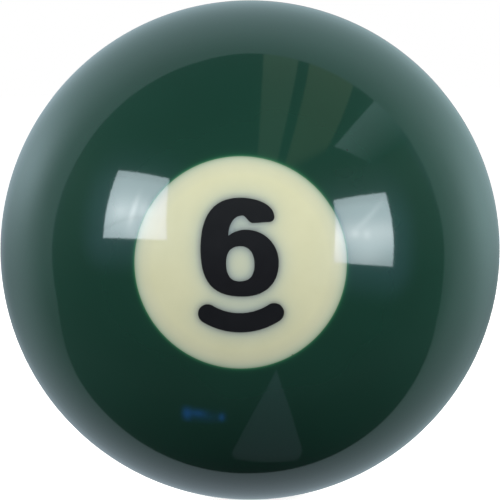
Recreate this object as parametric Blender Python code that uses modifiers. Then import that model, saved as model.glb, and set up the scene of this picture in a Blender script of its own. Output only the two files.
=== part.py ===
"""Numbered pool ball: a solid green casting with an ivory number disc let into each side.

Metres. The origin is the ball's centre. The front number faces -Y with its top towards +Z, and
the back number is the same insert turned half a turn about the vertical.
Each insert is drawn in its own frame: z out through the middle of the disc, y towards the
number's top. Body, discs and inlays all end on one sphere.
"""

import math

import bmesh
import bpy
from mathutils import Vector

# The ball: the standard size for pool.
BALL_DIAMETER = 0.05715

# The ivory number disc. Depths are measured from the ball's surface at the disc's middle.
DISC_DIAMETER = 0.0231
DISC_DEPTH = 0.0070
DISC_CHAMFER = 0.0004

# The black numeral let into the disc.
NUMERAL_HEIGHT = 0.0107
INLAY_DEPTH = 0.0035

# The bar under the numeral: an arc of even width with round ends.
BAR_WIDTH = 0.00213
BAR_RADIUS = 0.0068
BAR_SWEEP = math.radians(64)
BAR_SPACE = 0.0018

# How far the numeral and its bar sit below the middle of the disc.
MARK_DROP = 0.0002

# Clearances of the cast bonds: disc in body, inlay in disc.
DISC_GAP = 0.0003
INLAY_GAP = 0.00015

# How finely round shapes are cut.
TURN_STEPS = 72
ARC_STEP = math.radians(5)
OUTLINE_STEPS = 7
BAR_STEPS = 20
BAR_END_STEPS = 10
WELD = 1e-6

# How far the outlines that shape the inlays and their recesses stand clear of the ball.
OVERRUN = 0.001

# The numeral's outline in shares of its height, from its foot: each point is x, y, the heading
# in degrees, and how far the curve reaches along it before and after the point.
# The black lies to the right of each loop.
SIX_OUTSIDE = (
    (0.002, 1.000, 0, 0.316, 0.167),
    (0.359, 0.796, -90, 0.137, 0.017),
    (0.295, 0.748, 180, 0.050, 0.047),
    (0.130, 0.744, 159, 0.014, 0.050),
    (0.031, 0.820, 180, 0.044, 0.079),
    (-0.095, 0.669, -90, 0.081, 0.015),
    (-0.066, 0.650, 25, 0.015, 0.041),
    (0.059, 0.678, 0, 0.054, 0.196),
    (0.395, 0.348, -90, 0.177, 0.243),
    (0.038, 0.000, 180, 0.193, 0.329),
    (-0.395, 0.468, 90, 0.302, 0.274),
)
SIX_COUNTER = (
    (0.007, 0.512, 180, 0.098, 0.108),
    (-0.137, 0.334, -90, 0.105, 0.105),
    (0.000, 0.156, 0, 0.098, 0.108),
    (0.150, 0.331, 90, 0.107, 0.103),
)

GREEN = (0.012, 0.072, 0.038, 1.0)
IVORY = (0.70, 0.69, 0.46, 1.0)
BLACK = (0.009, 0.009, 0.012, 1.0)
POLISHED = 0.08

BALL_RADIUS = BALL_DIAMETER / 2
DISC_RADIUS = DISC_DIAMETER / 2
FRONT = (math.pi / 2, 0, 0)
BACK = (math.pi / 2, 0, math.pi)


def clear_scene():
    for obj in list(bpy.data.objects):
        bpy.data.objects.remove(obj)


def new_collection(name):
    collection = bpy.data.collections.new(name)
    bpy.context.scene.collection.children.link(collection)
    return collection


def resin(name, colour):
    """Polished phenolic resin of one colour."""
    material = bpy.data.materials.new(name)
    material.use_nodes = True
    shader = material.node_tree.nodes["Principled BSDF"]
    shader.inputs["Base Color"].default_value = colour
    shader.inputs["Roughness"].default_value = POLISHED
    shader.inputs["Metallic"].default_value = 0.0
    material.diffuse_color = colour
    return material


def ball_arc(start, end):
    """Profile points (radius, height) down the ball, between two angles from the pole."""
    count = math.ceil((end - start) / ARC_STEP)
    angles = [start + (end - start) * i / count for i in range(count + 1)]
    return [(BALL_RADIUS * math.sin(a), BALL_RADIUS * math.cos(a)) for a in angles]


def turned(name, profile, collection, turn):
    """A solid of revolution about its own z axis, from a profile that runs top to bottom."""
    mesh = bpy.data.meshes.new(name)
    points = [(radius, 0, height) for radius, height in profile]
    mesh.from_pydata(points, [(i, i + 1) for i in range(len(points) - 1)], [])
    obj = bpy.data.objects.new(name, mesh)
    obj.rotation_euler = turn
    collection.objects.link(obj)
    screw = obj.modifiers.new("turn", "SCREW")
    screw.steps = screw.render_steps = TURN_STEPS
    screw.use_merge_vertices = True
    screw.merge_threshold = WELD
    screw.use_smooth_shade = True
    return obj


def as_cutter(obj):
    obj.hide_render = True
    obj.display_type = "WIRE"
    return obj


def curve_loop(curve, knots, scale, foot):
    """Adds one closed Bezier loop, its knots scaled up and set over the foot of the numeral."""
    spline = curve.splines.new("BEZIER")
    spline.bezier_points.add(len(knots) - 1)
    spline.use_cyclic_u = True
    for point, (x, y, heading, before, after) in zip(spline.bezier_points, knots):
        place = Vector((x * scale, y * scale + foot, 0))
        along = Vector((math.cos(math.radians(heading)), math.sin(math.radians(heading)), 0))
        point.handle_left_type = point.handle_right_type = "FREE"
        point.co = place
        point.handle_left = place - along * before * scale
        point.handle_right = place + along * after * scale


def numeral_foot():
    """Height of the numeral's foot in the disc: numeral, space and bar are centred as one."""
    below = BAR_SPACE + BAR_WIDTH
    return (NUMERAL_HEIGHT + below) / 2 - NUMERAL_HEIGHT - MARK_DROP


def six_curve(grow):
    """The numeral's flat outline with its counter, grown all round by this much."""
    curve = bpy.data.curves.new("six", "CURVE")
    curve.resolution_u = OUTLINE_STEPS
    curve.offset = grow
    curve_loop(curve, SIX_OUTSIDE, NUMERAL_HEIGHT, numeral_foot())
    curve_loop(curve, SIX_COUNTER, NUMERAL_HEIGHT, numeral_foot())
    return curve


def bar_curve(grow):
    """The bar's flat outline: lower arc, right end, upper arc and left end, as one loop."""
    centre = numeral_foot() - BAR_SPACE - BAR_WIDTH / 2 + BAR_RADIUS
    half_width = BAR_WIDTH / 2 + grow
    points = []

    def arc(x, y, radius, start, end, steps):
        for i in range(steps):
            a = start + (end - start) * i / steps
            points.append((x + radius * math.sin(a), y - radius * math.cos(a), 0, 1))

    half = BAR_SWEEP / 2
    end_x, end_y = BAR_RADIUS * math.sin(half), centre - BAR_RADIUS * math.cos(half)
    arc(0, centre, BAR_RADIUS + half_width, -half, half, BAR_STEPS)
    arc(end_x, end_y, half_width, half, half + math.pi, BAR_END_STEPS)
    arc(0, centre, BAR_RADIUS - half_width, half, -half, BAR_STEPS)
    arc(-end_x, end_y, half_width, math.pi - half, 2 * math.pi - half, BAR_END_STEPS)

    curve = bpy.data.curves.new("bar", "CURVE")
    spline = curve.splines.new("POLY")
    spline.points.add(len(points) - 1)
    spline.points.foreach_set("co", [value for point in points for value in point])
    spline.use_cyclic_u = True
    return curve


def standing(name, curve, floor, collection, turn):
    """The flat outline made a mesh that stands from the floor to clear of the ball."""
    height = BALL_RADIUS + OVERRUN - floor
    curve.dimensions = "2D"
    curve.fill_mode = "BOTH"
    curve.extrude = height / 2
    outline = bpy.data.objects.new(name + "_outline", curve)
    outline.rotation_euler = turn
    bpy.context.scene.collection.objects.link(outline)
    bpy.context.view_layer.update()
    graph = bpy.context.evaluated_depsgraph_get()
    mesh = bpy.data.meshes.new_from_object(outline.evaluated_get(graph))
    mesh.name = name

    work = bmesh.new()
    work.from_mesh(mesh)
    bmesh.ops.remove_doubles(work, verts=work.verts, dist=WELD)
    bmesh.ops.translate(work, verts=work.verts, vec=(0, 0, floor + height / 2))
    bmesh.ops.recalc_face_normals(work, faces=work.faces)
    work.to_mesh(mesh)
    work.free()

    obj = bpy.data.objects.new(name, mesh)
    obj.matrix_world = outline.matrix_world
    collection.objects.link(obj)
    bpy.data.objects.remove(outline)
    return obj


def combine(obj, operation, other):
    """Adds an exact Boolean with the other object."""
    boolean = obj.modifiers.new(other.name, "BOOLEAN")
    boolean.operation = operation
    boolean.solver = "EXACT"
    boolean.object = other


def make_body(parts, material):
    """The casting: a ball with a round blind pocket in each side."""
    pocket_radius = DISC_RADIUS + DISC_GAP
    pocket_floor = BALL_RADIUS - DISC_DEPTH - DISC_GAP
    rim = math.asin(pocket_radius / BALL_RADIUS)
    upper = [(0, pocket_floor), (pocket_radius, pocket_floor)] + ball_arc(rim, math.pi / 2)
    lower = [(radius, -height) for radius, height in reversed(upper[:-1])]
    turned("body", upper + lower, parts, FRONT).data.materials.append(material)


def disc_profile():
    """The disc: a domed face on the ball's sphere, a straight side and a chamfered inner edge."""
    inner_face = BALL_RADIUS - DISC_DEPTH
    profile = ball_arc(0, math.asin(DISC_RADIUS / BALL_RADIUS))
    profile += [
        (DISC_RADIUS, inner_face + DISC_CHAMFER),
        (DISC_RADIUS - DISC_CHAMFER, inner_face),
        (0, inner_face),
    ]
    return profile


def make_insert(side, turn, parts, cutters, ivory, black):
    """One number insert: the disc, and the numeral and its bar set flush into it."""
    disc = turned("number_disc_" + side, disc_profile(), parts, turn)
    disc.data.materials.append(ivory)
    blank = as_cutter(turned("disc_blank_" + side, disc_profile(), cutters, turn))
    inlay_floor = BALL_RADIUS - INLAY_DEPTH
    recess_floor = inlay_floor - INLAY_GAP

    for name, curve_of in (("numeral", six_curve), ("underline", bar_curve)):
        inlay = standing(name + "_" + side, curve_of(0), inlay_floor, parts, turn)
        inlay.data.materials.append(black)
        combine(inlay, "INTERSECT", blank)
        recess_name = name + "_recess_" + side
        recess = standing(recess_name, curve_of(INLAY_GAP), recess_floor, cutters, turn)
        combine(disc, "DIFFERENCE", as_cutter(recess))


def main():
    clear_scene()
    parts = new_collection("numbered_pool_ball")
    cutters = new_collection("cutters")
    make_body(parts, resin("green_resin", GREEN))
    ivory, black = resin("ivory_resin", IVORY), resin("black_resin", BLACK)
    for side, turn in (("front", FRONT), ("back", BACK)):
        make_insert(side, turn, parts, cutters, ivory, black)


main()
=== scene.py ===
"""Looks of the numbered pool ball: cast, ground and polished phenolic resin in three colours.

Metres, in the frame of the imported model: the ball's centre is the origin, the front number faces
-Y and its top is towards +Z. The green casting, the two ivory discs and the black inlays all end
on one true sphere, so every piece is worked out from the same outlines and the same radius.
"""

import math

import bpy
import numpy as np
from mathutils import Matrix, Vector
from mathutils.geometry import delaunay_2d_cdt


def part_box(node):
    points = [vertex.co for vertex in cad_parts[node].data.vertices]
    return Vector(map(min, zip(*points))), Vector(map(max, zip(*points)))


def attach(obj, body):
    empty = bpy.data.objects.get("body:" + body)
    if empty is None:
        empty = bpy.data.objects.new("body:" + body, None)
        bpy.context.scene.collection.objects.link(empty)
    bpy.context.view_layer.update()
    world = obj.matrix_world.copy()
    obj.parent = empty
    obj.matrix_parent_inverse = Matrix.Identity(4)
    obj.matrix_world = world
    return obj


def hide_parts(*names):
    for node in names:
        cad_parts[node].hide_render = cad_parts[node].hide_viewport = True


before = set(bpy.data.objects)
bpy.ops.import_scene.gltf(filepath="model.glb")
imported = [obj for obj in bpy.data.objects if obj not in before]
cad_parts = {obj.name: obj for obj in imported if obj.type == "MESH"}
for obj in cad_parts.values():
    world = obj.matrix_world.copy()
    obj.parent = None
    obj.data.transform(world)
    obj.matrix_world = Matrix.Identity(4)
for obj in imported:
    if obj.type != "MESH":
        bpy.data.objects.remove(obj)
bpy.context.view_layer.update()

MM = 0.001

# ---------------------------------------------------------------- sizes, from the frame

ball_low, ball_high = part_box("body")
disc_low, disc_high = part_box("number_disc_front")
numeral_low, numeral_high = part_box("numeral_front")
bar_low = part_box("underline_front")[0]

BALL_RADIUS = (ball_high.z - ball_low.z) / 2
DISC_RADIUS = (disc_high.x - disc_low.x) / 2
DISC_FLOOR = -disc_high.y
INLAY_FLOOR = -numeral_high.y
NUMERAL_FOOT = numeral_low.z
NUMERAL_HEIGHT = numeral_high.z - numeral_low.z

# The bar under the numeral is an arc of even width with round ends.
BAR_WIDTH = 2.13 * MM
BAR_RADIUS = 6.8 * MM
BAR_SWEEP = math.radians(64)
BAR_FOOT = bar_low.z

# How finely the pieces are cut, and how near an outline's own points the filling may come.
ROUND_STEPS = 256
DOME_STEPS = 96
OUTLINE_STEPS = 14
BAR_STEPS = 48
BAR_END_STEPS = 20
FILL_SPACING = 0.42 * MM
FILL_CLEARANCE = 0.6 * FILL_SPACING
# Outline points this near each other would be one, in millimetres; a point this near the ball's
# surface is on it.
WELD_MM = 1e-5
ON_BALL = 1e-3 * MM

# The polish's unevenness: how wide and how high the buffed grain and the wheel's waves are.
GRAIN_WIDTH = 0.25 * MM
WAVE_WIDTH = 5 * MM
GRAIN_HEIGHT = 0.0007 * MM
WAVE_HEIGHT = 0.002 * MM

# Painted shade: light that enters the ivory wanders this far and is lost where it meets black, and
# the ivory's colour is darkened for it; more red is lost this way than blue. Each row is a reach and
# the loss of red, green and blue.
BLACK_LOSS = (
    (0.5 * MM, (0.62, 0.54, 0.42)),
    (1.2 * MM, (0.60, 0.40, 0.0)),
)

# The numeral's outline in shares of its height, from its foot: x, y, the heading in degrees, and
# how far the curve reaches along it before and after the point. The black lies to the right.
SIX_OUTSIDE = (
    (0.002, 1.000, 0, 0.316, 0.167),
    (0.359, 0.796, -90, 0.137, 0.017),
    (0.295, 0.748, 180, 0.050, 0.047),
    (0.130, 0.744, 159, 0.014, 0.050),
    (0.031, 0.820, 180, 0.044, 0.079),
    (-0.108, 0.640, -95, 0.100, 0.008),
    (-0.104, 0.622, 40, 0.006, 0.050),
    (0.059, 0.678, 0, 0.054, 0.196),
    (0.395, 0.348, -90, 0.177, 0.243),
    (0.038, 0.000, 180, 0.193, 0.329),
    (-0.395, 0.468, 90, 0.302, 0.274),
)
SIX_COUNTER = (
    (0.007, 0.512, 180, 0.098, 0.108),
    (-0.137, 0.334, -90, 0.105, 0.105),
    (0.000, 0.156, 0, 0.098, 0.108),
    (0.150, 0.331, 90, 0.107, 0.103),
)


# ---------------------------------------------------------------- outlines, in the disc's plane


def numeral_loop(knots):
    """Points round one loop of the numeral.

    Between two knots runs a cubic Bezier: (1-t)^3 a + 3(1-t)^2 t b + 3(1-t) t^2 c + t^3 d, with b
    and c the reach after the first knot and before the second.
    """
    x, y, heading, before, after = np.array(knots).T
    turn = np.radians(heading)
    along = np.stack([np.cos(turn), np.sin(turn)], axis=1)
    a = np.stack([x, y], axis=1)
    b = a + along * after[:, None]
    d = np.roll(a, -1, axis=0)
    c = d - np.roll(along * before[:, None], -1, axis=0)
    t = (np.arange(OUTLINE_STEPS) / OUTLINE_STEPS)[:, None, None]
    points = (1 - t) ** 3 * a + 3 * (1 - t) ** 2 * t * b + 3 * (1 - t) * t**2 * c + t**3 * d
    points = points.transpose(1, 0, 2).reshape(-1, 2) * NUMERAL_HEIGHT
    return points + (0, NUMERAL_FOOT)


def arc(centre, radius, start, end, steps):
    """Points on a circle, by angle from straight down: centre + radius (sin a, -cos a)."""
    a = start + (end - start) * np.arange(steps) / steps
    return np.stack([centre[0] + radius * np.sin(a), centre[1] - radius * np.cos(a)], axis=1)


def bar_loop():
    """Points round the bar: its lower arc, right end, upper arc and left end."""
    half, half_width = BAR_SWEEP / 2, BAR_WIDTH / 2
    centre = np.array([0, BAR_FOOT + half_width + BAR_RADIUS])
    right = centre + BAR_RADIUS * np.array([math.sin(half), -math.cos(half)])
    left = right * (-1, 1)
    return np.concatenate(
        [
            arc(centre, BAR_RADIUS + half_width, -half, half, BAR_STEPS),
            arc(right, half_width, half, half + math.pi, BAR_END_STEPS),
            arc(centre, BAR_RADIUS - half_width, half, -half, BAR_STEPS),
            arc(left, half_width, math.pi - half, 2 * math.pi - half, BAR_END_STEPS),
        ]
    )


def inside(points, loops):
    """Whether each point is inside the loops, by the even-odd rule: a ray to the right of it
    crosses their edges an odd number of times."""
    crossings = np.zeros(len(points), int)
    for loop in loops:
        start, end = loop, np.roll(loop, -1, axis=0)
        x, y = points[:, :1], points[:, 1:]
        spans = (start[:, 1] > y) != (end[:, 1] > y)
        rise = np.where(start[:, 1] == end[:, 1], 1, end[:, 1] - start[:, 1])
        cut = start[:, 0] + (y - start[:, 1]) / rise * (end[:, 0] - start[:, 0])
        crossings += (spans & (x < cut)).sum(axis=1)
    return crossings % 2 == 1


def distance_to(points, loops):
    """Distance from each point to the nearest edge of the loops: the point is dropped on to every
    edge, a + clamp((p-a).(b-a) / |b-a|^2) (b-a), and the nearest foot counts."""
    nearest = np.full(len(points), np.inf)
    for loop in loops:
        a, edge = loop, np.roll(loop, -1, axis=0) - loop
        offset = points[:, None] - a
        share = (offset * edge).sum(axis=2) / (edge**2).sum(axis=1)
        away = offset - np.clip(share, 0, 1)[..., None] * edge
        nearest = np.minimum(nearest, np.sqrt((away**2).sum(axis=2)).min(axis=1))
    return nearest


# ---------------------------------------------------------------- the insert, cut once for all


def filler_points(loops):
    """A triangular lattice inside the disc, less what is too near an outline."""
    reach = int(DISC_RADIUS / FILL_SPACING) + 1
    column, row = np.meshgrid(np.arange(-reach, reach + 1), np.arange(-reach, reach + 1))
    x = (column + 0.5 * (row % 2)) * FILL_SPACING
    y = row * FILL_SPACING * math.sqrt(3) / 2
    points = np.stack([x.ravel(), y.ravel()], axis=1)
    points = points[np.hypot(*points.T) < DISC_RADIUS]
    return points[distance_to(points, loops) > FILL_CLEARANCE]


def cut_plan(loops):
    """Constrained Delaunay triangles over the disc, with every outline among their edges."""
    points = np.concatenate(loops + [filler_points(loops)])
    edges, first = [], 0
    for loop in loops:
        index = np.arange(len(loop))
        edges.append(np.stack([first + index, first + (index + 1) % len(loop)], axis=1))
        first += len(loop)
    # The triangulation works in millimetres, because its welding distance suits them.
    flat = [Vector(point) for point in (points / MM).tolist()]
    found, _, faces, sources, _, _ = delaunay_2d_cdt(
        flat, np.concatenate(edges).tolist(), [], 0, WELD_MM
    )
    assert len(found) == len(points), "an outline crosses itself"
    triangles = np.array([source[0] for source in sources])[np.array(faces)]
    a, b, c = (points[triangles[:, i]] for i in range(3))
    area = (b[:, 0] - a[:, 0]) * (c[:, 1] - a[:, 1]) - (c[:, 0] - a[:, 0]) * (b[:, 1] - a[:, 1])
    triangles[area < 0] = triangles[area < 0][:, ::-1]
    return points, triangles


def rings_of(loops):
    """The index range of each outline's points in the plan."""
    ends = np.cumsum([len(loop) for loop in loops])
    return [np.arange(end - len(loop), end) for loop, end in zip(loops, ends)]


def wall(upper, lower):
    """Quads between two rings of equal length; the solid is on the left going along the ring."""
    return np.stack([upper, lower, np.roll(lower, -1), np.roll(upper, -1)], axis=1)


def layer(points, depth=None):
    """Plan points stood up in the front disc: on the ball, y = -sqrt(R^2 - x^2 - z^2), or on a
    flat floor at this depth."""
    if depth is None:
        y = -np.sqrt(BALL_RADIUS**2 - (points**2).sum(axis=1))
    else:
        y = np.full(len(points), -depth)
    return np.stack([points[:, 0], y, points[:, 1]], axis=1)


TURNS = 2 * math.pi * np.arange(ROUND_STEPS) / ROUND_STEPS
RIM = DISC_RADIUS * np.stack([np.cos(TURNS), np.sin(TURNS)], axis=1)
SIX, COUNTER, BAR = numeral_loop(SIX_OUTSIDE), numeral_loop(SIX_COUNTER), bar_loop()
LOOPS = [RIM, SIX, COUNTER, BAR]
PLAN, TRIANGLES = cut_plan(LOOPS)
RIM_RING, SIX_RING, COUNTER_RING, BAR_RING = rings_of(LOOPS)
MIDDLES = PLAN[TRIANGLES].mean(axis=1)
IN_SIX = inside(MIDDLES, [SIX, COUNTER])
IN_BAR = inside(MIDDLES, [BAR])


# ---------------------------------------------------------------- pieces


def used_only(points, parts):
    """Drops the points that no face uses, renumbers the faces, and says which points were kept."""
    kept = np.unique(np.concatenate([part.ravel() for part in parts]))
    number = np.zeros(len(points), int)
    number[kept] = np.arange(len(kept))
    return points[kept], [number[part] for part in parts], kept


def finished(name, points, parts, material, node):
    """Makes the mesh, gives its polished face the true sphere's normals and sets the piece in
    the frame. A point p of the polished face has the normal p / R, whatever the triangles do."""
    mesh = bpy.data.meshes.new(name)
    mesh.from_pydata(points.tolist(), [], [face for part in parts for face in part.tolist()])
    mesh.materials.append(material)

    corner = np.empty(len(mesh.loops), np.int32)
    mesh.loops.foreach_get("vertex_index", corner)
    sides = np.empty(len(mesh.polygons), np.int32)
    mesh.polygons.foreach_get("loop_total", sides)
    flat = np.empty(len(mesh.polygons) * 3, np.float32)
    mesh.polygons.foreach_get("normal", flat)
    face_of = np.repeat(np.arange(len(sides)), sides)
    on_ball = np.abs(np.linalg.norm(points, axis=1) - BALL_RADIUS) < ON_BALL
    polished = np.bincount(face_of, weights=~on_ball[corner]) == 0
    outward = points[corner] / BALL_RADIUS
    normals = np.where(polished[face_of][:, None], outward, flat.reshape(-1, 3)[face_of])
    mesh.normals_split_custom_set(normals.tolist())

    piece = bpy.data.objects.new(name, mesh)
    bpy.context.scene.collection.objects.link(piece)
    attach(piece, "root")
    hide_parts(node)
    return piece


def to_side(points, side):
    """The back insert is the front one turned half a turn about the vertical."""
    return points if side == "front" else points * (-1, -1, 1)


def make_casting(material):
    """The green ball with its two pockets: rings of points about Y, from one pocket's floor over
    the ball to the other's. A ring at angle a from the front pole has radius R sin a and stands
    at y = -R cos a."""
    rim = math.asin(DISC_RADIUS / BALL_RADIUS)
    a = np.linspace(rim, math.pi - rim, DOME_STEPS + 1)
    radius = np.concatenate([[DISC_RADIUS], BALL_RADIUS * np.sin(a), [DISC_RADIUS]])
    height = np.concatenate([[-DISC_FLOOR], -BALL_RADIUS * np.cos(a), [DISC_FLOOR]])
    x = radius[:, None] * np.cos(TURNS)
    z = radius[:, None] * np.sin(TURNS)
    y = np.broadcast_to(height[:, None], x.shape)
    rings = np.arange(x.size).reshape(x.shape)
    points = np.stack([x, y, z], axis=2).reshape(-1, 3)
    front, back = len(points), len(points) + 1
    points = np.concatenate([points, [[0, -DISC_FLOOR, 0], [0, DISC_FLOOR, 0]]])
    sides = [wall(upper, lower) for upper, lower in zip(rings[:-1], rings[1:])]
    fans = [
        np.stack([np.full(ROUND_STEPS, front), rings[0], np.roll(rings[0], -1)], axis=1),
        np.stack([np.full(ROUND_STEPS, back), np.roll(rings[-1], -1), rings[-1]], axis=1),
    ]
    return finished("green_casting", points, sides + fans, material, "body")


def light_kept():
    """The share of red, green and blue that the ivory keeps at each point of the plan, painted
    into its colour as shade near the black.

    The black seen from a point is the sum over black triangles of A exp(-d^2 / 2 s^2) / (2 pi s^2),
    with A the triangle's area and d its distance; a share c of black leaves exp(-k c) of a colour.
    """
    chosen = IN_SIX | IN_BAR
    a, b, c = (PLAN[TRIANGLES[chosen]][:, i] for i in range(3))
    area = ((b - a)[:, 0] * (c - a)[:, 1] - (b - a)[:, 1] * (c - a)[:, 0]) / 2
    away = ((PLAN[:, None] - MIDDLES[chosen]) ** 2).sum(axis=2)
    loss = np.zeros((len(PLAN), 3))
    for reach, weights in BLACK_LOSS:
        share = (area * np.exp(-away / (2 * reach**2))).sum(axis=1) / (2 * math.pi * reach**2)
        loss += share[:, None] * weights
    return np.exp(-loss)


def make_disc(side, material):
    """The ivory disc: ivory triangles on the ball, the black's triangles sunk to the inlay's
    floor, and the whole plan again as the flat inner face, with a wall round each outline."""
    count = len(PLAN)
    points = np.concatenate([layer(PLAN), layer(PLAN, INLAY_FLOOR), layer(PLAN, DISC_FLOOR)])
    black = IN_SIX | IN_BAR
    inlay, inner = count, 2 * count
    parts = [
        TRIANGLES[~black],
        TRIANGLES[black] + inlay,
        TRIANGLES[:, ::-1] + inner,
        wall(RIM_RING, RIM_RING + inner),
    ]
    parts += [wall(ring, ring + inlay) for ring in (SIX_RING, COUNTER_RING)]
    parts += [wall(BAR_RING + inlay, BAR_RING)]
    points, parts, kept = used_only(points, parts)
    piece = finished(
        "ivory_disc_" + side,
        to_side(points, side),
        parts,
        material,
        "number_disc_" + side,
    )
    # Painted shade: how near each point is to the black, and how much light it keeps, for the ivory's
    # colour.
    gap = np.tile(distance_to(PLAN, [SIX, COUNTER, BAR]), 3)[kept]
    black_gap = piece.data.attributes.new("black_gap", "FLOAT", "POINT")
    black_gap.data.foreach_set("value", gap.astype(np.float32))
    colours = np.concatenate([light_kept(), np.ones((count, 1))], axis=1)
    colours = np.tile(colours, (3, 1))[kept]
    kept_light = piece.data.attributes.new("light_kept", "FLOAT_COLOR", "POINT")
    kept_light.data.foreach_set("color", colours.astype(np.float32).ravel())


def make_inlay(name, side, chosen, rings, material, node):
    """A black inlay: its triangles on the ball, the same ones turned over as its floor, and a
    wall round each of its outlines."""
    count = len(PLAN)
    points = np.concatenate([layer(PLAN), layer(PLAN, INLAY_FLOOR)])
    parts = [TRIANGLES[chosen], TRIANGLES[chosen][:, ::-1] + count]
    parts += [wall(ring, ring + count) for ring in rings]
    points, parts, _ = used_only(points, parts)
    return finished(
        name + "_" + side, to_side(points, side), parts, material, node + "_" + side
    )


# ---------------------------------------------------------------- materials


def linear(code):
    """An sRGB hex colour as linear values."""
    values = np.array([int(code[i : i + 2], 16) / 255 for i in (1, 3, 5)])
    values = np.where(values <= 0.04045, values / 12.92, ((values + 0.055) / 1.055) ** 2.4)
    return (*values.tolist(), 1.0)


def add(tree, kind, values=None, stops=None, out=None, **settings):
    """Adds a node with its settings and links, and returns its output of this name, or else its
    first one in use. A value is set on its socket, or linked if it is a socket itself; stops are
    a colour ramp's positions and colours."""
    node = tree.nodes.new(kind)
    for name, value in settings.items():
        setattr(node, name, value)
    for socket, value in (values or {}).items():
        if isinstance(value, bpy.types.NodeSocket):
            tree.links.new(value, node.inputs[socket])
        else:
            node.inputs[socket].default_value = value
    if stops:
        elements = node.color_ramp.elements
        while len(elements) < len(stops):
            elements.new(0.5)
        for element, (position, colour) in zip(elements, stops):
            element.position = position
            element.color = linear(colour)
    if out:
        return node.outputs[out]
    return next((output for output in node.outputs if output.enabled), None)


# Settings that lay a stain over a colour: the two are multiplied.
STAIN = {"data_type": "RGBA", "blend_type": "MULTIPLY"}


def new_tree(name):
    """A material, and its node tree with nothing in it."""
    material = bpy.data.materials.new(name)
    material.use_nodes = True
    material.node_tree.nodes.clear()
    return material, material.node_tree


def clouding(tree, size, detail=2.0, stretch=(1, 1, 1)):
    """A pattern of soft blobs about this size, in the piece's own place times the stretch; it
    reads from 0 to 1, mostly near 0.5."""
    place = add(tree, "ShaderNodeTexCoord", out="Object")
    place = add(tree, "ShaderNodeVectorMath", {0: place, 1: stretch}, operation="MULTIPLY")
    return add(
        tree, "ShaderNodeTexNoise", {"Vector": place, "Scale": 1 / size, "Detail": detail}
    )


def from_axis(tree):
    """Distance from the axis through the two numbers, in metres: sqrt(x^2 + z^2)."""
    place = add(tree, "ShaderNodeTexCoord", out="Object")
    flat = add(tree, "ShaderNodeVectorMath", {0: place, 1: (1, 0, 1)}, operation="MULTIPLY")
    return add(tree, "ShaderNodeVectorMath", {0: flat}, out="Value", operation="LENGTH")


def polished_resin(name, colour_of):
    """Cast phenolic resin, ground and buffed: one sharp clear gloss, IOR 1.6.

    The eye gets a mirror-like skin whose reflections have a slightly grainy edge, a faint haze
    round bright lamps from buffing marks too fine to part, patches of hairline scuffs from play,
    and a few specks of dust sunk in the resin.
    """
    material, tree = new_tree(name)
    # Scuff marks are drawn 0.15 mm wide; the real ones are finer, but would vanish in a render.
    hairs = clouding(tree, 1.2 * MM, 3.0, (1, 1, 8))
    hairs = add(tree, "ShaderNodeMapRange", {0: hairs, 1: 0.55, 2: 0.75, 3: 0.0, 4: 1.0})
    patch = clouding(tree, 9 * MM, 1.0)
    patch = add(tree, "ShaderNodeMapRange", {0: patch, 1: 0.48, 2: 0.68, 3: 0.0, 4: 1.0})
    scuffs = add(tree, "ShaderNodeMath", {0: hairs, 1: patch}, operation="MULTIPLY")
    roughness = add(
        tree, "ShaderNodeMath", {0: scuffs, 1: 0.08, 2: 0.05}, operation="MULTIPLY_ADD"
    )
    # The buffed grain is drawn coarser than the real one, so that it shows. The wheel leaves waves.
    grain = clouding(tree, GRAIN_WIDTH, 2.0)
    grain = add(tree, "ShaderNodeBump", {"Height": grain, "Strength": 1.0, "Distance": GRAIN_HEIGHT})
    waves = clouding(tree, WAVE_WIDTH, 1.0)
    waves = add(
        tree,
        "ShaderNodeBump",
        {"Height": waves, "Strength": 1.0, "Distance": WAVE_HEIGHT, "Normal": grain},
    )
    # Dust specks up to 0.15 mm in radius, one in each 5 mm of resin each way: few reach the skin.
    place = add(tree, "ShaderNodeTexCoord", out="Object")
    speck = add(tree, "ShaderNodeTexVoronoi", {"Vector": place, "Scale": 1 / (5 * MM)})
    speck = add(tree, "ShaderNodeMapRange", {0: speck, 1: 0.015, 2: 0.03, 3: 0.35, 4: 1.0})
    colour = add(tree, "ShaderNodeMix", {0: 1.0, 6: colour_of(tree), 7: speck}, **STAIN)
    shader = add(
        tree,
        "ShaderNodeBsdfPrincipled",
        {
            "Base Color": colour,
            "Roughness": roughness,
            "Normal": waves,
            "IOR": 1.6,
            "Coat Weight": 0.05,
            "Coat Roughness": 0.2,
            "Coat IOR": 1.6,
        },
    )
    add(tree, "ShaderNodeOutputMaterial", {"Surface": shader})
    return material


def green_colour(tree):
    """Deep bottle green with a trace of flow in it, and painted light: brighter in a hairline round
    each disc, where light leaks out of the ivory."""
    # Painted light: a bright green band just outside each disc's rim, fading into the plain green.
    beyond = add(
        tree, "ShaderNodeMath", {0: from_axis(tree), 1: DISC_RADIUS}, operation="SUBTRACT"
    )
    share = add(tree, "ShaderNodeMath", {0: beyond, 1: 1.0 * MM}, operation="DIVIDE")
    depth = add(
        tree,
        "ShaderNodeValToRGB",
        {"Fac": share},
        stops=[
            (0.0, "#3a7a52"),
            (0.12, "#245f42"),
            (0.24, "#154a33"),
            (0.36, "#0f412e"),
            (0.6, "#0b3b2b"),
            (1.0, "#09392a"),
        ],
    )
    flow = clouding(tree, 11 * MM, 3.0, (1, 1, 1.6))
    flow = add(tree, "ShaderNodeValToRGB", {"Fac": flow}, stops=[(0.3, "#eef4f0"), (0.7, "#ffffff")])
    return add(tree, "ShaderNodeMix", {0: 1.0, 6: depth, 7: flow}, **STAIN)


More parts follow.
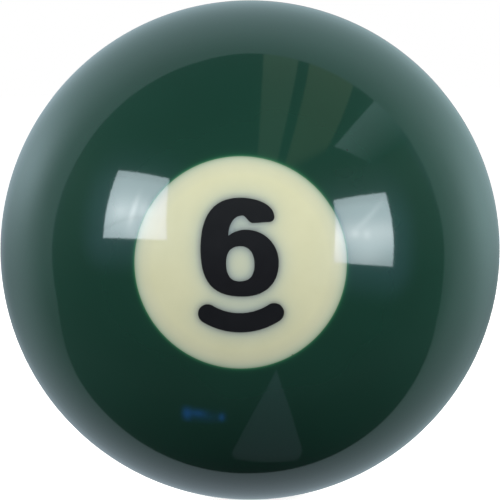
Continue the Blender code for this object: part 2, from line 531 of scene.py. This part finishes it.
def ivory_colour(tree):
    """Warm ivory, faintly clouded, with painted shade where the light that enters it is lost into
    the black and the green."""
    # Painted shade, darker towards the black inlays.
    gap = add(tree, "ShaderNodeAttribute", out="Fac", attribute_name="black_gap")
    share = add(tree, "ShaderNodeMath", {0: gap, 1: 0.8 * MM}, operation="DIVIDE")
    painted_shade_near_black = add(
        tree,
        "ShaderNodeValToRGB",
        {"Fac": share},
        stops=[
            (0.0, "#d0d0d3"),
            (0.1, "#dcdce0"),
            (0.2, "#e7e7ec"),
            (0.3, "#efeff4"),
            (0.425, "#f6f6f9"),
            (0.75, "#fdfefe"),
            (1.0, "#ffffff"),
        ],
    )
    # Painted shade over a wider reach round the black, with more red lost than blue.
    wide = add(tree, "ShaderNodeAttribute", out="Color", attribute_name="light_kept")
    ivory_with_painted_shade = add(tree, "ShaderNodeMix", {0: 1.0, 6: painted_shade_near_black, 7: wide}, **STAIN)
    # Painted shade, darker and bluer towards the disc's rim.
    within = add(
        tree, "ShaderNodeMath", {0: DISC_RADIUS, 1: from_axis(tree)}, operation="SUBTRACT"
    )
    share = add(tree, "ShaderNodeMath", {0: within, 1: 2.0 * MM}, operation="DIVIDE")
    painted_shade_near_rim = add(
        tree,
        "ShaderNodeValToRGB",
        {"Fac": share},
        stops=[
            (0.0, "#a6bdc0"),
            (0.1, "#d0dfea"),
            (0.2, "#e1ebf6"),
            (0.3, "#ecf2fb"),
            (0.5, "#f7f9ff"),
            (1.0, "#ffffff"),
        ],
    )
    ivory_with_painted_shade = add(tree, "ShaderNodeMix", {0: 1.0, 6: ivory_with_painted_shade, 7: painted_shade_near_rim}, **STAIN)
    cloud = clouding(tree, 3 * MM, 3.0)
    cloud = add(tree, "ShaderNodeValToRGB", {"Fac": cloud}, stops=[(0.3, "#d9dbb7"), (0.7, "#dcdebb")])
    return add(tree, "ShaderNodeMix", {0: 1.0, 6: ivory_with_painted_shade, 7: cloud}, **STAIN)


def black_colour(tree):
    """Soot black, with the least trace of grey in it."""
    cloud = clouding(tree, 1.5 * MM, 4.0)
    return add(tree, "ShaderNodeValToRGB", {"Fac": cloud}, stops=[(0.3, "#0b0b0d"), (0.7, "#111113")])


# ---------------------------------------------------------------- stage

# Where the camera stands, from the front number's axis: round towards +X, up, and its own roll;
# its lens is in millimetres.
CAMERA_DISTANCE = 0.5
CAMERA_TURN = math.radians(2.31)
CAMERA_RISE = math.radians(2.94)
CAMERA_ROLL = math.radians(1.2)
CAMERA_LENS = 314.1

# How far the lamps and the panels stand from the ball's centre.
SOFTBOX_DISTANCE = 0.5
PANEL_DISTANCE = 1.2

# Each panel is a left edge and a right edge from top to bottom, as degrees round from the front
# towards +X and degrees up, seen from the ball's centre.
LEFT_SOFTBOX = ((-68.4, 31.6), (-66.3, 6.6)), ((-38.3, 32.6), (-34.6, 7.2))
RIGHT_SOFTBOX = ((42.4, 22.0), (39.1, -3.4)), ((70.3, 21.3), (68.4, -6.0))
CEILING_LEFT = ((160.6, 76.2), (6.0, 32.5)), ((140.8, 67.1), (14.0, 32.3))
CEILING_RIGHT = ((139.7, 63.4), (18.1, 32.2)), ((117.8, 54.0), (46.6, 41.8))
WINDOW = ((114.5, 46.2), (55.5, 44.2)), ((110.4, 31.5), (71.0, 32.4))
STAND = (
    ((17.6, -52.0), (12.6, -63.0), (3.7, -74.1), (-39.8, -85.1), (-151.0, -76.1), (-161, -72)),
    ((17.6, -52.0), (27.3, -62.4), (47.0, -71.7), (93.4, -76.8), (142.6, -69.7), (157, -65)),
)
BLUE_SIGN = ((-63.9, -62.2), (-86.5, -66.7)), ((-24.1, -69.9), (-46.4, -79.0))

# The light of a softbox's cloth, of the tube behind it, and of what its shaded edge takes away.
CLOTH_GLOW = (0.76, 0.915, 0.99)
TUBE_GLOW = (1.0, 0.99, 0.98)
SHADE_GLOW = (0.85, 1.1, 0.72)

# Soft spots on a panel. Each row is how far across and up its middle is, its width and height, all
# as shares of the panel, how far it leans to the right by the panel's top, and its brightness.
ALL = math.inf
LEFT_CLOTH = (
    (0.0, 0.0, 0.15, ALL, 0.0, -0.55),
    (0.0, 0.45, ALL, 0.3, 0.0, 0.8),
)
LEFT_TUBE = (
    (0.33, 0.4, 0.3, 0.22, 0.0, 2.4),
    (0.385, 0.42, 0.045, 0.2, 0.2, 3.6),
    (0.25, 0.4, 0.1, 0.08, 0.0, 1.0),
    (0.5, 0.08, 0.12, 0.14, 0.0, 1.1),
    (0.64, 0.42, 0.1, 0.16, 0.0, 2.3),
)
RIGHT_CLOTH = (
    (0.5, 0.7, 0.6, 0.4, 0.0, 0.9),
    (1.0, 0.0, 0.4, 0.3, 0.0, -0.8),
    (0.0, 0.28, ALL, 0.1, 0.0, 0.8),
)
RIGHT_TUBE = (
    (0.5, 0.46, 1.0, 0.16, 0.0, 2.8),
    (0.34, 0.44, 0.06, 0.05, 0.0, 2.0),
    (0.53, 0.43, 0.05, 0.06, 0.0, 2.0),
    (0.55, 0.15, 0.3, 0.2, 0.0, 1.3),
    (-0.35, 0.68, 0.07, 0.2, 1.38, 1.4),
)
SIGN_LETTERS = (
    (0.14, 0.52, 0.09, 0.33, 0.0, 1.3),
    (0.55, 0.4, 0.3, 0.3, 0.0, 0.3),
    (0.36, 0.6, 0.16, 0.2, 0.0, 1.0),
    (0.86, 0.38, 0.06, 0.2, 0.0, 1.2),
)

# Light of the dim panels, and of the room that they fade into.
CEILING_LEFT_GLOW = (0.40, 0.52, 0.44)
CEILING_RIGHT_GLOW = (0.40, 0.48, 0.38)
WINDOW_GLOW = (0.68, 0.96, 1.02)
STAND_GLOW = (0.085, 0.10, 0.12)
STAND_RISE = (0.18, 0.21, 0.30)
SIGN_GLOW = (0.03, 0.22, 1.0)
ROOM_ABOVE = (0.17, 0.22, 0.25)

# The faint light round a softbox: how many times the softbox's width its sheet is, how far out of
# the softbox it reaches in softbox widths, how far behind the cloth it hangs, and how much of it
# is missing above.
HAZE_GLOW = (0.16, 0.28, 0.46)
HAZE_SPREAD = 2.4
HAZE_REACH = 0.7
HAZE_BEHIND = 1.04
HAZE_TOP_LOSS = 0.75

# The pale card's edge in ball radii, round from its lower left corner.
CARD_EDGE = (
    (-9.6, -2.4), (-8, -2.7), (-4, -2.8), (-2.6, -3.15), (0, -3.4), (1.5, -3.25), (4, -3.0),
    (6.6, -2.7), (7.4, -2.2), (8.2, -1.6), (8.5, -0.6), (8.5, 2.1), (7.2, 4.0), (5.9, 4.8),
    (4.9, 5.8), (3.8, 6.3), (2, 6.8), (0, 7.1), (-2, 7.9), (-4.4, 7.9), (-6.8, 7.1),
    (-9.3, 5.5), (-10, 2.8), (-10.1, -1.5),
)
# Its painted light at these distances from the ball, in ball radii: above the ball's middle the
# lamps reach it well, and below it less.
CARD_STOPS = (1.1, 1.5, 2.2, 3.2, 6.0)
CARD_ABOVE = (0.55, 0.68, 0.70, 0.70, 0.57)
CARD_BELOW = (0.45, 0.48, 0.48, 0.42, 0.29)
# Each lamp's painted pool of light on it, and the painted shadow that the ball throws beside it:
# the direction in degrees round from +X, the distance, how far it spreads round and out, and how
# bright it is.
CARD_POOLS = (
    (10, 2.4, 20, 0.38, 0.34),
    (159, 2.7, 13, 0.42, 0.50),
    (345, 4.5, 30, 0.45, 0.14),
    (184, 1.6, 22, 0.40, -0.24),
    (345, 1.3, 25, 0.30, -0.20),
)
# How finely its edge is followed, and how many points its grid has round and out.
CARD_EDGE_STEPS = 600
CARD_TURN_STEPS = 241
CARD_OUT_STEPS = 60

# Each lamp: its side, how far round and up it stands in degrees, and its power in watts.
LAMPS = (("left", -54, 16.5, 1.68), ("right", 57, 17.5, 1.85))
LAMP_SIZE = 0.25
LAMP_COLOUR = (1.0, 0.98, 0.95)

# How far the floor runs from the ball each way, in metres.
FLOOR_REACH = 3.0


def direction(turn, rise):
    """The unit vector this far round from the front towards +X, and this far up."""
    return Vector(
        (math.sin(turn) * math.cos(rise), -math.cos(turn) * math.cos(rise), math.sin(rise))
    )


def facing_centre(towards, roll=0.0):
    """The axes of something that stands in this direction and looks back at the ball."""
    back = towards.normalized()
    right = Vector((0, 0, 1)).cross(back).normalized()
    up = back.cross(right)
    turned_right = right * math.cos(roll) - up * math.sin(roll)
    turned_up = up * math.cos(roll) + right * math.sin(roll)
    return Matrix((turned_right, turned_up, back)).transposed().to_4x4()


def make_camera():
    """It looks at the ball's centre from a little to the right of the front number and above it,
    rolled a little."""
    lens = bpy.data.cameras.new("camera")
    lens.lens = CAMERA_LENS
    lens.clip_start = 0.01
    lens.clip_end = 100
    camera = bpy.data.objects.new("camera", lens)
    towards = direction(CAMERA_TURN, CAMERA_RISE)
    camera.matrix_world = (
        Matrix.Translation(towards * CAMERA_DISTANCE) @ facing_centre(towards, CAMERA_ROLL)
    )
    bpy.context.scene.collection.objects.link(camera)
    bpy.context.scene.camera = camera


def lit_cloth(name, clear=False):
    """A stage material that glows by its mesh's own colours; a clear one adds its glow to
    whatever stands behind it."""
    material, tree = new_tree(name)
    glow = add(tree, "ShaderNodeAttribute", out="Color", attribute_name="glow")
    shader = add(tree, "ShaderNodeEmission", {0: glow})
    if clear:
        behind = add(tree, "ShaderNodeBsdfTransparent")
        shader = add(tree, "ShaderNodeAddShader", {0: shader, 1: behind})
    add(tree, "ShaderNodeOutputMaterial", {0: shader})
    return material


def lit_sheet(name, points, glow, material):
    """A sheet over a grid of points, seen only in the ball's polish."""
    rows, columns = points.shape[:2]
    number = np.arange(rows * columns).reshape(rows, columns)
    corners = (number[:-1, :-1], number[:-1, 1:], number[1:, 1:], number[1:, :-1])
    faces = np.stack(corners, axis=2).reshape(-1, 4)
    mesh = bpy.data.meshes.new(name)
    mesh.from_pydata(points.reshape(-1, 3).tolist(), [], faces.tolist())
    mesh.materials.append(material)
    colours = np.concatenate([glow, np.ones((rows, columns, 1))], axis=2)
    attribute = mesh.attributes.new("glow", "FLOAT_COLOR", "POINT")
    attribute.data.foreach_set("color", colours.astype(np.float32).ravel())
    sheet = bpy.data.objects.new(name, mesh)
    bpy.context.scene.collection.objects.link(sheet)
    for kind in ("camera", "diffuse", "transmission", "shadow"):
        setattr(sheet, "visible_" + kind, False)
    return sheet


def between_edges(edges, distance, steps):
    """A grid between two edges: u across and v up, from 0 to 1, and the points. Both edges are
    read at v by straight runs between their own points, and mixed as left (1-u) + right u."""
    left, right = (
        np.array([direction(math.radians(turn), math.radians(rise)) for turn, rise in edge])
        * distance
        for edge in edges
    )
    u, v = np.meshgrid(np.linspace(0, 1, steps), np.linspace(0, 1, steps))
    down = (1 - v[:, 0]) * (len(left) - 1)
    knots = np.arange(len(left))
    left, right = (
        np.stack([np.interp(down, knots, edge[:, axis]) for axis in range(3)], axis=1)[:, None]
        for edge in (left, right)
    )
    return u, v, left * (1 - u[..., None]) + right * u[..., None]


def spot(u, v, middle, size):
    """A soft spot of light: exp(-((u-a)/w)^2 - ((v-b)/h)^2)."""
    return np.exp(-(((u - middle[0]) / size[0]) ** 2) - ((v - middle[1]) / size[1]) ** 2)


def spots(u, v, rows):
    """The light of all these spots together; a spot that leans by k is read at u - k v."""
    return sum(
        bright * spot(u - lean * v, v, (across, up), (width, height))
        for across, up, width, height, lean, bright in rows
    )


def soft_step(x, width):
    """0 below and 1 above, smoothly: 1 / (1 + exp(-x / w))."""
    return 1 / (1 + np.exp(-x / width))


def hems(v, top, foot):
    """What the hems at the cloth's top and foot take away."""
    return top * soft_step(v - 0.89, 0.02) + foot * soft_step(0.09 - v, 0.02)


def left_softbox_glow(u, v):
    """Brightest beside the tube, with one crease low down, v = 0.13 + 0.2 sin(2.5 u), and shaded
    past the line u = 0.57 + 0.1 v + 0.43 v^2."""
    crease = 1.3 * spot(v - 0.2 * np.sin(2.5 * u), 0, (0.13, 0), (0.022, 1))
    bright = 8.1 - 0.9 * v + spots(u, v, LEFT_CLOTH) - hems(v, 0.9, 0.6) - crease
    shade = 3.0 + 6.0 * np.maximum(u - 0.75, 0)
    shade = shade * soft_step(u - 0.57 - 0.1 * v - 0.43 * v**2, 0.03)
    return softbox_glow(bright, spots(u, v, LEFT_TUBE), shade)


def right_softbox_glow(u, v):
    """Brightest across its middle, and shaded before the line u = 0.22 - 0.04 v - 0.25 v^2."""
    bright = 7.1 + spots(u, v, RIGHT_CLOTH) - hems(v, 1.1, 0.9)
    shade = (3.2 + 1.4 * v) * soft_step(0.22 - 0.04 * v - 0.25 * v**2 - u, 0.025)
    return softbox_glow(bright, spots(u, v, RIGHT_TUBE), shade)


def softbox_glow(bright, tube, shade):
    """Cloth light and tube light together, less the shade, each in its own colour."""
    parts = ((bright, CLOTH_GLOW), (tube, TUBE_GLOW), (-shade, SHADE_GLOW))
    return sum(level[..., None] * np.array(colour) for level, colour in parts)


def haze_share(across, up):
    """How strong the haze is: s^2 (3 - 2 s), with s falling from 1 at the softbox's edge to 0 at
    the haze's reach, and less of it above."""
    off = np.hypot(*(np.maximum(abs(share - 0.5) - 0.5, 0) for share in (across, up)))
    near = np.clip(1 - off / HAZE_REACH, 0, 1)
    return near**2 * (3 - 2 * near) * (1 - HAZE_TOP_LOSS * soft_step(up - 0.9, 0.12))


def make_softboxes(cloth, haze):
    """A square white diffuser on either side in front of the ball, and the same two behind it.
    Round each one the dusty air and the wall take on a little of its light."""
    boxes = (
        ("left_softbox", LEFT_SOFTBOX, left_softbox_glow),
        ("right_softbox", RIGHT_SOFTBOX, right_softbox_glow),
    )
    for name, edges, glow_of in boxes:
        u, v, points = between_edges(edges, SOFTBOX_DISTANCE, 60)
        glow = glow_of(u, v)
        middle = points.mean(axis=(0, 1))
        around = (middle + (points - middle) * HAZE_SPREAD) * HAZE_BEHIND
        across, up = (0.5 + (share - 0.5) * HAZE_SPREAD for share in (u, v))
        haze_glow = haze_share(across, up)[..., None] * HAZE_GLOW
        for side, turned in (("_front", (1, 1, 1)), ("_back", (-1, -1, 1))):
            lit_sheet(name + side, points * turned, glow, cloth)
            lit_sheet(name + "_haze" + side, around * turned, haze_glow, haze)


def card_glow(turn, distance):
    """The card's painted light at this turn from +X and this distance in ball radii: the level above
    and below the ball's middle, mixed by a soft step on sin(turn), and the painted pools and shades.
    It is a little greener to the right and above."""
    above, below = (
        np.interp(np.log(distance), np.log(CARD_STOPS), row) for row in (CARD_ABOVE, CARD_BELOW)
    )
    level = below + (above - below) * soft_step(np.sin(turn) + 0.1, 0.13)
    for towards, far, spread, depth, bright in CARD_POOLS:
        off = (turn - math.radians(towards) + math.pi) % (2 * math.pi) - math.pi
        out = np.log(distance / far)
        level = level + bright * spot(off, out, (0, 0), (math.radians(spread), depth))
    red = 0.78 - 0.03 * np.cos(turn) - 0.02 * np.sin(turn)
    blue = 1.10 - 0.03 * np.cos(turn) - 0.01 * np.sin(turn)
    return level[..., None] * np.stack([red, np.ones(len(turn)), blue], axis=1)


def make_card(cloth):
    """The pale card that stands behind the ball, glowing with painted light and shadow. Its grid runs
    round the ball and out to its edge, and is finest near the ball: distance = a (reach / a)^s, from
    a, just past the ball."""
    edge = np.array(CARD_EDGE + CARD_EDGE[:1], float)
    fine = np.linspace(0, len(edge) - 1, CARD_EDGE_STEPS)
    edge = np.stack([np.interp(fine, np.arange(len(edge)), edge[:, i]) for i in (0, 1)], axis=1)
    around = np.arctan2(edge[:, 1], edge[:, 0])
    order = np.argsort(around)
    turn = np.linspace(0, 2 * math.pi, CARD_TURN_STEPS)
    wrapped = (turn + math.pi) % (2 * math.pi) - math.pi
    reach = np.interp(wrapped, around[order], np.hypot(*edge[order].T), period=2 * math.pi)
    share = np.linspace(0, 1, CARD_OUT_STEPS)[:, None]
    distance = CARD_STOPS[0] * (reach / CARD_STOPS[0]) ** share
    x = distance * np.cos(turn) * BALL_RADIUS
    z = distance * np.sin(turn) * BALL_RADIUS
    points = np.stack([x, np.full_like(x, BALL_RADIUS), z], axis=2)
    lit_sheet("pale_card", points, card_glow(turn, distance), cloth)


def mixed(lit, colour):
    """The room's own colour mixed into this one, where the panel is less than fully lit."""
    return np.array(ROOM_ABOVE) + (np.array(colour) - ROOM_ABOVE) * lit[..., None]


def make_panels(cloth, haze):
    """Dim panels round the ball: two ceiling lights that are off, a window, the lamp's stand and a
    small blue sign. Each fades towards one side."""
    u, v, points = between_edges(CEILING_LEFT, PANEL_DISTANCE, 24)
    lit = (0.70 + 0.22 * v) * soft_step(v - 0.08, 0.03)
    lit_sheet("ceiling_left", points, mixed(lit, CEILING_LEFT_GLOW), cloth)
    u, v, points = between_edges(CEILING_RIGHT, PANEL_DISTANCE, 24)
    lit = (0.84 + 0.12 * v) * soft_step(v - 0.08, 0.03)
    lit_sheet("ceiling_right", points, mixed(lit, CEILING_RIGHT_GLOW), cloth)
    u, v, points = between_edges(WINDOW, PANEL_DISTANCE, 24)
    lit_sheet("window", points, mixed((1 - u) * (1 - 0.2 * v), WINDOW_GLOW), cloth)
    u, v, points = between_edges(STAND, PANEL_DISTANCE, 48)
    lit_sheet("stand", points, STAND_GLOW + v[..., None] * STAND_RISE, cloth)
    u, v, points = between_edges(BLUE_SIGN, PANEL_DISTANCE, 40)
    lit_sheet("blue_sign", points, spots(u, v, SIGN_LETTERS)[..., None] * SIGN_GLOW, haze)


def make_lamps():
    """Area lamps facing the ball, seen only through the light that they give to the resin: one on
    either side in front of it, and the same two behind it."""
    for place, spin in (("_lamp_front", 0), ("_lamp_back", 180)):
        for side, turn, rise, power in LAMPS:
            data = bpy.data.lights.new(side + place, "AREA")
            data.shape = "SQUARE"
            data.size = LAMP_SIZE
            data.energy = power
            data.color = LAMP_COLOUR
            towards = direction(math.radians(turn + spin), math.radians(rise))
            lamp = bpy.data.objects.new(side + place, data)
            lamp.matrix_world = (
                Matrix.Translation(towards * SOFTBOX_DISTANCE) @ facing_centre(towards)
            )
            bpy.context.scene.collection.objects.link(lamp)
            lamp.visible_camera = False
            lamp.visible_glossy = False


def make_floor():
    """A pale floor that the ball stands on, bright enough of itself to hold no shadow. It lights
    nothing and isn't mirrored, because the world does both."""
    material, tree = new_tree("pale_floor")
    surface = add(tree, "ShaderNodeBsdfDiffuse", {"Color": linear("#f4f4f2")})
    glow = add(tree, "ShaderNodeEmission", {"Color": linear("#f6f6f5"), "Strength": 0.95})
    both = add(tree, "ShaderNodeAddShader", {0: surface, 1: glow})
    add(tree, "ShaderNodeOutputMaterial", {0: both})
    reach, z = FLOOR_REACH, -BALL_RADIUS
    mesh = bpy.data.meshes.new("pale_floor")
    corners = [(-reach, -reach, z), (reach, -reach, z), (reach, reach, z), (-reach, reach, z)]
    mesh.from_pydata(corners, [], [(0, 1, 2, 3)])
    mesh.materials.append(material)
    floor = bpy.data.objects.new("pale_floor", mesh)
    bpy.context.scene.collection.objects.link(floor)
    floor.visible_glossy = False
    floor.visible_diffuse = False


def make_world():
    """White to the camera, even and soft to the resin, and a dim room in the ball's polish."""
    world = bpy.data.worlds.new("room")
    bpy.context.scene.world = world
    world.use_nodes = True
    tree = world.node_tree
    tree.nodes.clear()
    place = add(tree, "ShaderNodeTexCoord", out="Object")
    rise = add(tree, "ShaderNodeSeparateXYZ", {0: place}, out="Z")
    share = add(tree, "ShaderNodeMath", {0: rise, 1: 0.5, 2: 0.5}, operation="MULTIPLY_ADD")
    room = add(
        tree,
        "ShaderNodeValToRGB",
        {"Fac": share},
        stops=[
            (0.0, "#585a66"),
            (0.1, "#5c5e69"),
            (0.25, "#626871"),
            (0.42, "#686c76"),
            (0.55, "#787f88"),
            (0.7, "#848c93"),
            (0.85, "#74838a"),
            (1.0, "#6c7c83"),
        ],
    )
    # Painted shade: the floor behind the ball, where the ball would shade it, is dimmer in its polish,
    # down to 0.3.
    low = add(
        tree,
        "ShaderNodeVectorMath",
        {0: place, 1: (0, 0.6, -0.8)},
        out="Value",
        operation="DOT_PRODUCT",
    )
    shade = add(tree, "ShaderNodeMapRange", {0: low, 1: 0.5, 2: 1.0, 3: 1.0, 4: 0.3})
    dim = add(tree, "ShaderNodeBackground", {"Color": room, "Strength": shade})
    # The resin's own colour is lit a little less from below.
    below = add(tree, "ShaderNodeMapRange", {0: rise, 1: -1.0, 2: 0.0, 3: 0.19, 4: 0.27})
    even = add(tree, "ShaderNodeBackground", {"Color": (1, 1, 1, 1), "Strength": below})
    pale = add(tree, "ShaderNodeBackground", {"Color": (1, 1, 1, 1)})
    matt_ray = add(tree, "ShaderNodeLightPath", out="Is Diffuse Ray")
    lit = add(tree, "ShaderNodeMixShader", {0: matt_ray, 1: dim, 2: even})
    camera_ray = add(tree, "ShaderNodeLightPath", out="Is Camera Ray")
    both = add(tree, "ShaderNodeMixShader", {0: camera_ray, 1: lit, 2: pale})
    add(tree, "ShaderNodeOutputWorld", {"Surface": both})


# ---------------------------------------------------------------- putting it together

bpy.context.scene.view_settings.view_transform = "Standard"

green = polished_resin("cast_phenolic_green", green_colour)
ivory = polished_resin("cast_phenolic_ivory", ivory_colour)
black = polished_resin("cast_phenolic_black", black_colour)

make_casting(green)
for side in ("front", "back"):
    make_disc(side, ivory)
    make_inlay("black_six", side, IN_SIX, (SIX_RING[::-1], COUNTER_RING[::-1]), black, "numeral")
    make_inlay("black_bar", side, IN_BAR, (BAR_RING,), black, "underline")

make_camera()
cloth, haze = lit_cloth("lit_cloth"), lit_cloth("lit_haze", clear=True)
make_softboxes(cloth, haze)
make_card(cloth)
make_panels(cloth, haze)
make_lamps()
make_floor()
make_world()
